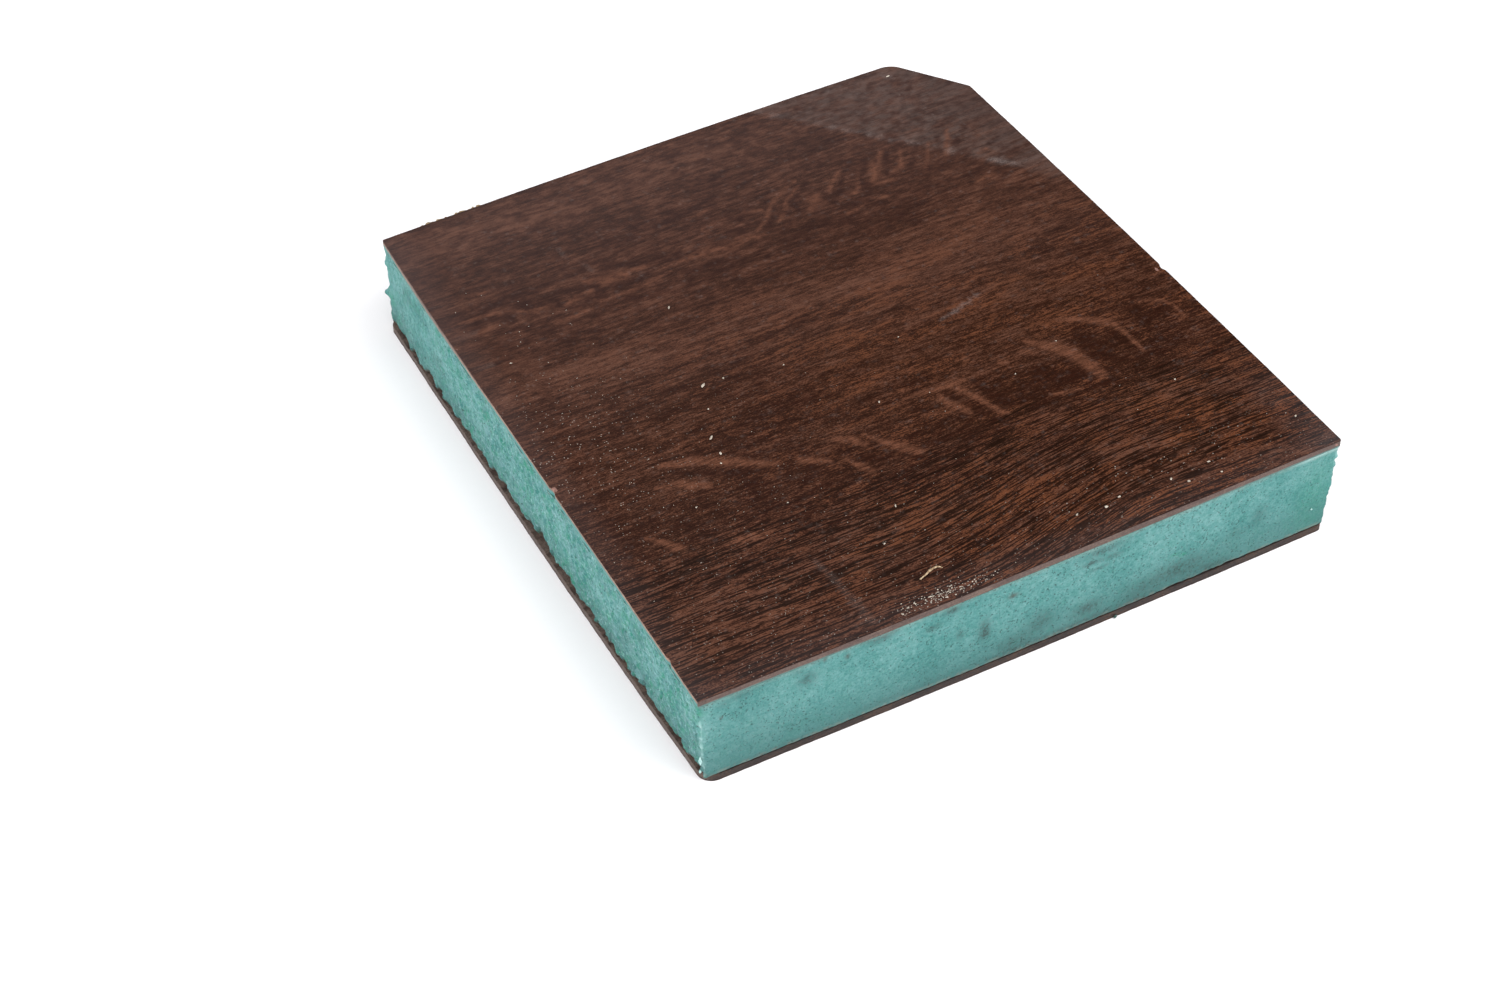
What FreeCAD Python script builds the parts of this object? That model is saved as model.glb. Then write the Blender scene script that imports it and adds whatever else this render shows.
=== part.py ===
"""Sandwich wall panel sample: a foam core between two PVC facing sheets, each with a printed decor foil on it.

A piece sawn from a large board. It lies flat, show face up. X runs along the front edge, Y runs from front to back and
Z up through the layers. The saw was guided by hand, so the four cuts are a little out of square, they waver, and the
blade drifted between the show face and the underside. One corner is clipped. Millimetres throughout.
"""
import FreeCAD
import Part

import math
import os
from collections import namedtuple

# Layers, as bought: sheet and foil gauges are the same on both sides
core_thickness = 20.6
sheet_thickness = 1.5
foil_thickness = 0.2

# Plan of the show face: length of the front edge and of the left edge
panel_width = 141.1
panel_depth = 149.1

# Clipped corner at the back right: what is cut off the back edge and off the right edge
clip_along_back = 11.5
clip_along_right = 16.1

# Saw cuts, in degrees: how far each is out of square on the show face and on the underside, turned anticlockwise
front_skew_face = -0.07
front_skew_underside = -0.21
right_skew_face = 1.03
right_skew_underside = 0.6
back_skew_face = 0.99
back_skew_underside = 0.99
left_skew_face = -0.34
left_skew_underside = 0.34

# How far each cut stands in from the show face's edge by the time the blade leaves the underside
front_drift = 0.34
right_drift = 1.3
back_drift = 0.0
left_drift = 0.75

# Waver: how far each cut bellies out from the straight line between its corners, one third and two thirds along it
front_waver_face = (0.37, 0.3)
front_waver_underside = (0.42, 0.43)
right_waver_face = (0.4, 0.38)
right_waver_underside = (0.4, 0.38)
back_waver_face = (0.52, 0.48)
back_waver_underside = (0.52, 0.48)
left_waver_face = (0.35, -0.04)
left_waver_underside = (0.53, 0.63)

# Corner radii in plan. The show face has crisp corners, and the underside was knocked and worn round
crisp_radius = 0.3
clip_radius_back = 5.0
clip_radius_right = 1.2
core_radius = 0.6
worn_radius_near = 3.2
worn_radius_right = 0.9
worn_radius_left = 2.4

# Layers from the floor up
foil_top_z = foil_thickness
sheet_top_z = foil_top_z + sheet_thickness
core_top_z = sheet_top_z + core_thickness
face_sheet_top_z = core_top_z + sheet_thickness
panel_top_z = face_sheet_top_z + foil_thickness

Cut = namedtuple("Cut", "start heading drift_heading skew_face skew_underside drift waver_face waver_underside")


def unit(degrees):
    """A unit vector in plan, turned anticlockwise from +X."""
    return FreeCAD.Vector(math.cos(math.radians(degrees)), math.sin(math.radians(degrees)), 0)


# The four saw cuts, anticlockwise from the front left corner: where each starts on the show face, the way it runs and
# the way that is inwards from it
front_left = FreeCAD.Vector(0, 0, 0)
front_right = front_left + unit(front_skew_face) * panel_width
back_left = front_left + unit(90 + left_skew_face) * panel_depth
front_wavers = front_waver_face, front_waver_underside
right_wavers = right_waver_face, right_waver_underside
back_wavers = back_waver_face, back_waver_underside
left_wavers = left_waver_face, left_waver_underside
CUTS = [
    Cut(front_left, 0, 90, front_skew_face, front_skew_underside, front_drift, *front_wavers),
    Cut(front_right, 90, 180, right_skew_face, right_skew_underside, right_drift, *right_wavers),
    Cut(back_left, 0, -90, back_skew_face, back_skew_underside, back_drift, *back_wavers),
    Cut(front_left, 90, 0, left_skew_face, left_skew_underside, left_drift, *left_wavers),
]


def cut_line(cut, height):
    """A point on a saw cut and its direction, on the plane at this height: the face's line at the top and the
    underside's at the floor, with the blade's drift shared out between them."""
    share = 1 - height / panel_top_z
    skew = cut.skew_face + (cut.skew_underside - cut.skew_face) * share
    point = cut.start + unit(cut.drift_heading) * (cut.drift * share)
    return FreeCAD.Vector(point.x, point.y, height), unit(cut.heading + skew)


def meet(line_a, line_b):
    """Where two lines of one horizontal plane cross."""
    (a, along_a), (b, along_b) = line_a, line_b
    turn = along_a.x * along_b.y - along_a.y * along_b.x
    reach = ((b.x - a.x) * along_b.y - (b.y - a.y) * along_b.x) / turn
    return a + along_a * reach


def wavers_at(height):
    """How far each side bellies out at this height, anticlockwise from the front one. The clip is straight."""
    share = 1 - height / panel_top_z
    front, right, back, left = (
        [face + (underside - face) * share for face, underside in zip(cut.waver_face, cut.waver_underside)]
        for cut in CUTS
    )
    return [front, right, None, back, left]


def corners_at(height):
    """The five corners at this height, anticlockwise from the front left: the back right one is clipped into two."""
    lines = [cut_line(cut, height) for cut in CUTS]
    near, right, far, left = (meet(lines[i - 1], lines[i]) for i in range(len(lines)))
    clip_start = far + (right - far).normalize() * clip_along_right
    clip_end = far + (left - far).normalize() * clip_along_back
    return [near, right, clip_start, clip_end, left]


def side_edge(start, end, waver):
    """One side of an outline: a straight edge, or a slow curve through points that stand out from it by the waver."""
    if waver is None:
        return Part.LineSegment(start, end).toShape()
    along = end - start
    out = FreeCAD.Vector(along.y, -along.x, 0).normalize()
    curve = Part.BSplineCurve()
    curve.interpolate([start, start + along / 3 + out * waver[0], start + along * 2 / 3 + out * waver[1], end])
    return curve.toShape()


def rounded_wire(height, radii):
    """The closed outline at this height: its corners turned with tangent arcs of their radii, its sides wavering."""
    corners = corners_at(height)
    wavers = wavers_at(height)
    count = len(corners)
    tangents = []
    for i, radius in enumerate(radii):
        corner = corners[i]
        back = (corners[i - 1] - corner).normalize()
        ahead = (corners[(i + 1) % count] - corner).normalize()
        half_angle = back.getAngle(ahead) / 2
        reach = radius / math.tan(half_angle)
        centre = corner + (back + ahead).normalize() * (radius / math.sin(half_angle))
        middle = centre + (corner - centre).normalize() * radius
        tangents.append((corner + back * reach, middle, corner + ahead * reach))
    edges = []
    for i, (arc_start, arc_middle, arc_end) in enumerate(tangents):
        edges.append(Part.Arc(arc_start, arc_middle, arc_end).toShape())
        edges.append(side_edge(arc_end, tangents[(i + 1) % count][0], wavers[i]))
    return Part.Wire(edges)


def flat_layer(bottom_z, top_z, radii):
    """A sheet or foil: the plan halfway up it, extruded through its thickness."""
    wire = rounded_wire((bottom_z + top_z) / 2, radii)
    wire.translate(FreeCAD.Vector(0, 0, (bottom_z - top_z) / 2))
    return Part.Face(wire).extrude(FreeCAD.Vector(0, 0, top_z - bottom_z))


def core_layer(bottom_z, top_z, radii):
    """The foam: a ruled body between its plans at the two glue lines, so its sides follow the drifting blade."""
    wires = [rounded_wire(z, radii) for z in (bottom_z, top_z)]
    return Part.makeLoft(wires, True, True)


# Radii by corner: near, right, clip start, clip end, left
worn_radii = [worn_radius_near, worn_radius_right, clip_radius_right, clip_radius_back, worn_radius_left]
core_radii = [core_radius, core_radius, clip_radius_right, clip_radius_back, core_radius]
face_radii = [crisp_radius, crisp_radius, clip_radius_right, clip_radius_back, crisp_radius]

nodes = {
    "underside_decor_foil": flat_layer(0, foil_top_z, worn_radii),
    "underside_pvc_sheet": flat_layer(foil_top_z, sheet_top_z, worn_radii),
    "foam_core": core_layer(sheet_top_z, core_top_z, core_radii),
    "face_pvc_sheet": flat_layer(core_top_z, face_sheet_top_z, face_radii),
    "face_decor_foil": flat_layer(face_sheet_top_z, panel_top_z, face_radii),
}

# The origin is the middle of the whole panel's box, on the floor
box = Part.Compound(list(nodes.values())).BoundBox
to_origin = FreeCAD.Vector(-box.Center.x, -box.Center.y, 0)

os.makedirs("parts", exist_ok=True)
for name, shape in nodes.items():
    shape.translate(to_origin)
    shape.exportStep(f"parts/{name}.step")
    print(f"{name}: valid {shape.isValid()}, {len(shape.Solids)} solid, volume {shape.Volume:.1f} mm3")
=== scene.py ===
"""Looks of a sawn piece of sandwich wall panel, built around its five packed layers.

Every layer is a closed mesh whose outline is read from its own solid: a wall of fine rows round the cut edge
and a filled plan above and below. The foam's wall carries the marks of the saw, and the sheets' edges their
chips. The show face's print is painted by fields computed at each point of its mesh, which the wood shader
turns into grain. Lengths are millimetres in the row's frame until a mesh is made, and metres in Blender.
"""

import math
from collections import namedtuple

import bpy
import numpy as np
from mathutils import Matrix, Vector
from mathutils.geometry import convex_hull_2d, delaunay_2d_cdt


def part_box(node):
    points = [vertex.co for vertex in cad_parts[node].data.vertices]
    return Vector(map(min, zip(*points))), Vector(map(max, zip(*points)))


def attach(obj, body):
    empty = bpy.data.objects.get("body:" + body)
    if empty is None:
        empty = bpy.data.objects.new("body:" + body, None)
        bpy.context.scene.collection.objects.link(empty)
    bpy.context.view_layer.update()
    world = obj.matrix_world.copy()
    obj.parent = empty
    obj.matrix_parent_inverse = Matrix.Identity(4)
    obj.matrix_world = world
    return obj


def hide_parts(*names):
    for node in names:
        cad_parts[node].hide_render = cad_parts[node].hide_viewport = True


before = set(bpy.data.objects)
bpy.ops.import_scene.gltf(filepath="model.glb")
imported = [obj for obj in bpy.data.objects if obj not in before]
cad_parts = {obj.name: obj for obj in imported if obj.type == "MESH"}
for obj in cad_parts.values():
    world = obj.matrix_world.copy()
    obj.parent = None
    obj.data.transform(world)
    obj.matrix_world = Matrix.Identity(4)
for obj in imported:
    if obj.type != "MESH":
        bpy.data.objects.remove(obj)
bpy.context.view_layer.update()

MM = 0.001

# The photograph's frame, and the camera fitted to it: where it looks, from which way and how far off
photo_width = 1500
focal_px = 2739
sensor_width = 36
camera_azimuth = -26.89
camera_elevation = 44.33
camera_roll = -1.48
camera_distance = 559.2
camera_target = (-26.90, -12.48, 0)

# Every place named below on the panel is measured from the fitted frame's middle, which lies here in the
# row's frame
fitted_x = -0.37
fitted_y = -0.32

# Mesh spacing: along the cut edges, up the foam's wall, and across the show face's print, the ledge that
# the torn foam leaves bare, the underside's print and the hidden plans
edge_step = 0.4
foam_row_step = 0.4
print_step = 0.55
ledge_step = 0.8
underside_step = 1.0
hidden_step = 6.0
# Points closer than this are one
same_place = 0.001


def srgb(red, green, blue):
    """A colour given as it looks on a screen, from 0 to 255, as the linear colour that a shader takes."""
    parts = [value / 255 for value in (red, green, blue)]
    return tuple(p / 12.92 if p <= 0.04045 else ((p + 0.055) / 1.055) ** 2.4 for p in parts) + (1,)


def smooth(low, high, value):
    """0 below low, 1 above high and an even curve between; high may be the lower number."""
    share = np.clip((value - low) / (high - low), 0, 1)
    return share * share * (3 - 2 * share)


def bell(offset, width, power=2):
    """1 where the offset is nothing, falling away on both sides over the width."""
    return np.exp(-np.abs(offset / width) ** power)


def marks(u, v, listed):
    """Soft spots added up, each listed as (place along u, place along v, half width along each, strength)."""
    total = np.zeros(np.broadcast(u, v).shape)
    for place, height, half, half_height, strength in listed:
        total += strength * np.exp(-((u - place) / half) ** 2 - ((v - height) / half_height) ** 2)
    return total


def rows_of(text, parts=1):
    """The rows of a table written as text, with commas between them and its numbers in this many parts of
    one."""
    return [tuple(float(number) / parts for number in row.split()) for row in text.split(",")]


# Numbers a side in each table of noise
lattice = 512


def noise(u, v, seed, octaves=3, period=None):
    """Soft random field from 0 to 1 with features one unit wide. With a period, it repeats after so many
    units of u."""
    total = np.zeros(np.broadcast(u, v).shape)
    weight_sum = 0
    for octave in range(octaves):
        scale = 2 ** octave
        table = np.random.default_rng(seed + octave).random((lattice, lattice))
        a, b = u * scale, v * scale
        ia, ib = np.floor(a).astype(int), np.floor(b).astype(int)
        fa, fb = smooth(0, 1, a - ia), smooth(0, 1, b - ib)
        wrap = period * scale if period else lattice
        a0, a1 = ia % wrap % lattice, (ia + 1) % wrap % lattice
        b0, b1 = ib % lattice, (ib + 1) % lattice
        low = table[a0, b0] * (1 - fa) + table[a1, b0] * fa
        high = table[a0, b1] * (1 - fa) + table[a1, b1] * fa
        weight = 0.5 ** octave
        total = total + weight * (low * (1 - fb) + high * fb)
        weight_sum += weight
    return total / weight_sum


# Outlines of the layers

SIDES = ("front", "right", "clip", "back", "left")
# The headings, in degrees, at which one side gives way to the next, halfway round each corner
SIDE_TURNS = (45, 108, 153, 225, 315)
Rim = namedtuple("Rim", "x y out_x out_y run side")
# x, y: points round an outline, anticlockwise from the near corner; out_x, out_y: the way out there; run:
# distance along the outline; side: which of SIDES a point is on


def hull_of(node, at_top):
    """The corners of a layer's plan, anticlockwise, from its solid."""
    corners = np.array([v.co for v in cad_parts[node].data.vertices]) / MM
    level = corners[:, 2].max() if at_top else corners[:, 2].min()
    flat = corners[np.abs(corners[:, 2] - level) < same_place, :2]
    hull = flat[convex_hull_2d([tuple(p) for p in flat])]
    # A corner that comes twice is kept once
    hull = hull[np.abs(hull - np.roll(hull, 1, axis=0)).sum(axis=1) > same_place]
    ahead = np.roll(hull, -1, axis=0)
    area = (hull[:, 0] * ahead[:, 1] - ahead[:, 0] * hull[:, 1]).sum()
    return hull if area > 0 else hull[::-1]


def rim_of(node, at_top, counts=None):
    """A layer's outline as points spread evenly along each side, from the near corner anticlockwise, and
    how many are on each side; counts makes it match another outline's points."""
    hull = hull_of(node, at_top)
    edges = np.roll(hull, -1, axis=0) - hull
    side = np.searchsorted(SIDE_TURNS, np.degrees(np.arctan2(edges[:, 1], edges[:, 0])) % 360) % len(SIDES)
    # The outline starts where its front side does
    start = np.flatnonzero((side == 0) & (np.roll(side, 1) == len(SIDES) - 1))[0]
    hull, edges, side = (np.roll(a, -start, axis=0) for a in (hull, edges, side))
    run = np.concatenate([[0], np.cumsum(np.hypot(edges[:, 0], edges[:, 1]))])
    offsets = np.append(run[:-1][np.flatnonzero(side != np.roll(side, 1))], run[-1])
    if counts is None:
        counts = [round(length / edge_step) for length in np.diff(offsets)]
    spread = [np.linspace(offsets[i], offsets[i + 1], n, endpoint=False) for i, n in enumerate(counts)]
    along = np.concatenate(spread)
    closed = np.concatenate([hull, hull[:1]])
    x, y = (np.interp(along, run, closed[:, i]) for i in (0, 1))
    step_x, step_y = (np.roll(c, -1) - np.roll(c, 1) for c in (x, y))
    length = np.hypot(step_x, step_y)
    side = np.repeat(np.arange(len(SIDES)), counts)
    return Rim(x, y, step_y / length, -step_x / length, along, side), counts


# Meshes


def fill(x, y, step, seed):
    """Triangles over the plan inside a closed outline, with scattered points inside it a step apart.
    Returns the points inside and the triangles, which number the outline's points first."""
    across = np.arange(x.min() + step / 2, x.max(), step)
    upward = np.arange(y.min() + step / 2, y.max(), step)
    grid_x, grid_y = (g.ravel() for g in np.meshgrid(across, upward))
    scatter = np.random.default_rng(seed).uniform(-0.3, 0.3, (2, grid_x.size)) * step
    grid_x, grid_y = grid_x + scatter[0], grid_y + scatter[1]
    margin = np.full(grid_x.size, np.inf)
    # An outline with small chips is still nearly convex, so about 160 of its points stand for all of it
    skip = max(1, len(x) // 160)
    for i in range(0, len(x), skip):
        j = (i + skip) % len(x)
        edge_x, edge_y = x[j] - x[i], y[j] - y[i]
        length = math.hypot(edge_x, edge_y)
        if length > edge_step * skip / 2:
            inside = (edge_x * (grid_y - y[i]) - edge_y * (grid_x - x[i])) / length
            margin = np.minimum(margin, inside)
    keep = margin > min(step * 0.6, 1.5)
    inner = np.stack([grid_x[keep], grid_y[keep]], axis=1)
    points = [Vector(p) for p in np.concatenate([np.stack([x, y], axis=1), inner])]
    edges = [(i, (i + 1) % len(x)) for i in range(len(x))]
    made = delaunay_2d_cdt(points, edges, [], 1, 1e-6)
    source = [where[0] for where in made[3]]
    return inner, [tuple(source[i] for i in face) for face in made[2]]


def put_in_scene(name, data):
    """A new object of the scene, with this mesh, lamp or camera."""
    made = bpy.data.objects.new(name, data)
    bpy.context.scene.collection.objects.link(made)
    return made


def new_mesh(name, points, faces, material):
    """A mesh object from points in millimetres."""
    mesh = bpy.data.meshes.new(name)
    mesh.from_pydata((np.asarray(points) * MM).tolist(), [], faces)
    mesh.update()
    mesh.materials.append(material)
    return put_in_scene(name, mesh)


def new_piece(name, points, faces, material):
    """A mesh piece that belongs to the panel."""
    piece = new_mesh(name, points, faces, material)
    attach(piece, "root")
    return piece


def paint(piece, fields):
    """Stores number fields at a piece's points, for its shader to read by name."""
    for name, values in fields.items():
        layer = piece.data.attributes.new(name, "FLOAT", "POINT")
        layer.data.foreach_set("value", np.asarray(values, dtype=np.float32))


def layer_piece(name, rows, top_step, bottom_step, material, seed, crease=40):
    """A closed layer: rows is a list of (x, y, z) outlines from the bottom up, with a plan filled in at
    both ends."""
    count = len(rows[0][0])
    points = np.concatenate([np.stack(np.broadcast_arrays(x, y, z), axis=1) for x, y, z in rows])
    faces, around = [], [(i, (i + 1) % count) for i in range(count)]
    for low in range(0, (len(rows) - 1) * count, count):
        high = low + count
        faces += [(low + i, low + j, high + j, high + i) for i, j in around]
    for end, step in ((len(rows) - 1, top_step), (0, bottom_step)):
        x, y, z = rows[end]
        inner, triangles = fill(x, y, step, seed + end)
        level = np.broadcast_to(z, x.shape)
        shift = len(points) - count
        points = np.concatenate([points, np.column_stack([inner, np.full(len(inner), level.mean())])])
        placed = [tuple(end * count + i if i < count else shift + i for i in face) for face in triangles]
        faces += placed if end else [face[::-1] for face in placed]
    piece = new_piece(name, points, faces, material)
    mesh = piece.data
    mesh.polygons.foreach_set("use_smooth", [True] * len(mesh.polygons))
    mesh.set_sharp_from_angle(angle=math.radians(crease))
    return piece, points


# Materials


class Nodes:
    """A node tree whose nodes are made by short calls, each of which returns the socket it ends in."""

    def __init__(self, owner):
        owner.use_nodes = True
        self.tree = owner.node_tree

    def node(self, kind, inputs=None, out=0, **settings):
        made = self.tree.nodes.new(kind)
        for key, value in settings.items():
            setattr(made, key, value)
        for key, value in (inputs or {}).items():
            self.feed(made.inputs[key], value)
        return made.outputs[out]

    def feed(self, socket, value):
        if isinstance(value, bpy.types.NodeSocket):
            self.tree.links.new(value, socket)
        else:
            socket.default_value = value

    def math(self, operation, a, b=0.5, c=0.5):
        return self.node("ShaderNodeMath", {0: a, 1: b, 2: c}, operation=operation)

    def times(self, a, b):
        return self.math("MULTIPLY", a, b)

    def vector(self, operation, a, b=(1, 1, 1), scale=1):
        inputs = {0: a, "Scale": scale} if operation == "SCALE" else {0: a, 1: b}
        return self.node("ShaderNodeVectorMath", inputs, operation=operation)

    def field(self, name):
        return self.node("ShaderNodeAttribute", out="Fac", attribute_name=name)

    def noise(self, place, size, detail=3.0, rough=0.55, twist=0.0):
        """Noise with features of the given size in millimetres, one for all axes or one for each."""
        sizes = size if isinstance(size, tuple) else (size, size, size)
        scaled = self.vector("MULTIPLY", place, tuple(1 / s for s in sizes))
        inputs = {"Vector": scaled, "Scale": 1.0, "Detail": detail, "Roughness": rough, "Distortion": twist}
        return self.node("ShaderNodeTexNoise", inputs)

    def ramp(self, value, low, high, start=0.0, end=1.0):
        """An even curve from start, where the value is low, to end, where it is high."""
        inputs = {"Value": value, "From Min": low, "From Max": high, "To Min": start, "To Max": end}
        return self.node("ShaderNodeMapRange", inputs, interpolation_type="SMOOTHSTEP")

    def blend(self, share, a, b):
        """Colour a where the share is 0 and colour b where it is 1; 6, 7 and 2 are the node's colour
        sockets."""
        return self.node("ShaderNodeMix", {"Factor": share, 6: a, 7: b}, out=2, data_type="RGBA")

    def layers(self, colour, coats):
        """A colour with coats over it in turn, each listed as (how far it covers, its colour)."""
        for share, coat in coats:
            colour = self.blend(share, colour, coat)
        return colour

    def sum(self, *parts):
        """The parts added up; a pair is a value and its weight."""
        total = 0.0
        for part in parts:
            value, weight = part if isinstance(part, tuple) else (part, 1.0)
            total = self.math("MULTIPLY_ADD", value, weight, total)
        return total

    def steps(self, value, stops):
        """Colour stops along a value."""
        made = self.tree.nodes.new("ShaderNodeValToRGB")
        ramp = made.color_ramp
        ramp.elements[0].position, ramp.elements[0].color = stops[0]
        ramp.elements[1].position, ramp.elements[1].color = stops[-1]
        for position, colour in stops[1:-1]:
            ramp.elements.new(position).color = colour
        self.feed(made.inputs[0], value)
        return made.outputs[0]

    def bump(self, height, depth):
        """The surface's normal with a relief of this depth in millimetres."""
        return self.node("ShaderNodeBump", {"Height": height, "Distance": depth * MM, "Strength": 1.0})


class Shader(Nodes):
    """A material. Its place socket gives each point's place in millimetres."""

    def __init__(self, name):
        self.material = bpy.data.materials.new(name)
        super().__init__(self.material)
        self.surface = self.tree.nodes["Principled BSDF"]
        place = self.node("ShaderNodeTexCoord", out="Object")
        self.place = self.vector("SCALE", place, scale=1 / MM)

    def finish(self, colour, roughness, normal, specular=0.5):
        self.feed(self.surface.inputs["Base Color"], colour)
        self.feed(self.surface.inputs["Roughness"], roughness)
        self.feed(self.surface.inputs["Normal"], normal)
        self.feed(self.surface.inputs["Specular IOR Level"], specular)
        return self.material


wood_dark = srgb(40, 17, 8)
wood_deep = srgb(51, 28, 17)
wood_mid = srgb(66, 38, 26)
wood_light = srgb(90, 58, 44)
wood_orange = srgb(97, 56, 35)
ray_colour = srgb(102, 64, 47)
pore_colour = srgb(22, 8, 2)
cut_edge_colour = srgb(44, 27, 22)
scuff_colour = srgb(84, 70, 65)
smear_colour = srgb(142, 130, 126)
dust_colour = srgb(205, 192, 180)
# Grey of the painted sheen laid over the print
painted_sheen_colour = srgb(150, 148, 154)

# How far apart the print's rows of pores run
pore_pitch = 1.0


def decor_foil(name):
    """Printed and embossed wood-grain film. Its fields give the grain's course, tone, figure, lines and
    wear, and a grey veil of painted sheen."""
    s = Shader(name)
    split = s.tree.nodes.new("ShaderNodeSeparateXYZ")
    s.feed(split.inputs[0], s.place)
    axes = {"X": split.outputs["X"], "Y": s.field("course"), "Z": split.outputs["Z"]}
    grain = s.node("ShaderNodeCombineXYZ", axes)
    crisp = s.field("crisp")
    band = s.noise(grain, (18, 2.6, 5), detail=2)
    streak = s.noise(grain, (5.5, 0.75, 5), detail=3, rough=0.6)
    fibre = s.noise(grain, (1.3, 0.24, 5), detail=2)
    mottle = s.noise(s.place, (2.2, 1.3, 5), detail=4, rough=0.6)
    grit = s.noise(s.place, (0.42, 0.24, 5), detail=2)
    fine = s.times(s.sum((fibre, 1.3), (grit, 1.6), -1.45), crisp)
    drawn = s.times(s.sum((streak, 1.4), -0.7), s.sum((crisp, 0.4), 0.6))
    tone = s.sum((band, 0.6), drawn, fine, (mottle, 0.5), (s.field("tone"), 0.2), -0.05)
    warm = s.times(s.ramp(s.noise(s.place, (15, 5, 5), detail=3), 0.42, 0.58), s.field("warm"))
    # Long pores, rows of pores at an even pitch that come and go, short pores and the longest drawn lines
    pore = s.field("pore")
    long_pores = s.ramp(s.noise(grain, (9, 0.45, 5), detail=0.8, rough=0.5), 0.545, 0.595)
    phase = s.sum((s.field("course"), 2 * math.pi / pore_pitch), (s.noise(grain, (16, 4, 5), detail=1), 14.0))
    rows = s.ramp(s.math("SINE", phase), 0.5, 0.9)
    rows = s.times(rows, s.ramp(s.noise(grain, (6, 0.9, 7), detail=1), 0.5, 0.58))
    pores = s.times(s.math("MAXIMUM", long_pores, rows), pore)
    short_pores = s.ramp(s.noise(grain, (2.4, 0.34, 9), detail=1), 0.57, 0.66)
    pores = s.math("MAXIMUM", pores, s.times(short_pores, s.sum((pore, 0.5), 0.35)))
    wander = s.math("MULTIPLY_ADD", fibre, 0.3, -0.15)
    line_gap = s.math("ABSOLUTE", s.math("ADD", s.field("line"), wander))
    pores = s.math("MAXIMUM", pores, s.times(s.ramp(line_gap, 0.34, 0.1), s.field("line_share")))
    inputs = {"Vector": s.place, "Scale": 0.9}
    dots = s.node("ShaderNodeTexVoronoi", inputs, out="Distance", voronoi_dimensions="2D")
    grain_share = s.ramp(s.noise(s.place, (1.7, 1.7, 5), detail=0), 0.56, 0.62, 0.0, 0.7)
    dust = s.times(s.times(s.ramp(dots, 0.13, 0.07), grain_share), s.field("dust"))
    wood = s.steps(tone, [(0.16, wood_dark), (0.36, wood_deep), (0.52, wood_mid), (0.84, wood_light)])
    colour = s.layers(wood, [
        (s.times(warm, s.ramp(tone, 0.4, 0.75)), wood_orange),
        (s.times(s.field("scuff"), s.ramp(mottle, 0.3, 0.65, 0.25, 0.65)), scuff_colour),
        (s.times(s.field("light"), s.ramp(s.sum(fine, (mottle, 1.0)), 0.3, 0.62, 0.45, 0.95)), ray_colour),
        (s.times(s.field("dark"), s.ramp(mottle, 0.35, 0.65, 0.85, 0.5)), wood_dark),
        (s.times(pores, s.sum((crisp, 0.55), 0.35)), pore_colour),
        (s.times(s.field("smear"), s.ramp(grit, 0.3, 0.7, 0.3, 0.9)), smear_colour),
        # Dust, a grey veil of painted sheen, and the cut edges' own dark colour
        (dust, dust_colour), (s.field("painted_sheen"), painted_sheen_colour), (s.field("cut"), cut_edge_colour),
    ])
    rough = s.sum((mottle, 0.2), (s.field("scuff"), 0.15), (dust, 0.3), 0.42)
    relief = s.sum((pores, -1.0), (fibre, 0.3), (grit, 0.5))
    return s.finish(colour, rough, s.bump(relief, 0.05), specular=0.04)


foam_pale = srgb(99, 144, 142)
foam_mid = srgb(73, 127, 124)
foam_deep = srgb(50, 110, 107)
foam_foot_shade = srgb(55, 96, 94)
foam_green = srgb(14, 118, 88)
foam_slate = srgb(98, 136, 140)
foam_grime = srgb(44, 68, 66)
foam_pit_shade = srgb(24, 52, 48)
foam_crush_and_highlight = srgb(150, 186, 184)
foam_stain_and_shade = srgb(62, 51, 43)


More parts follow.
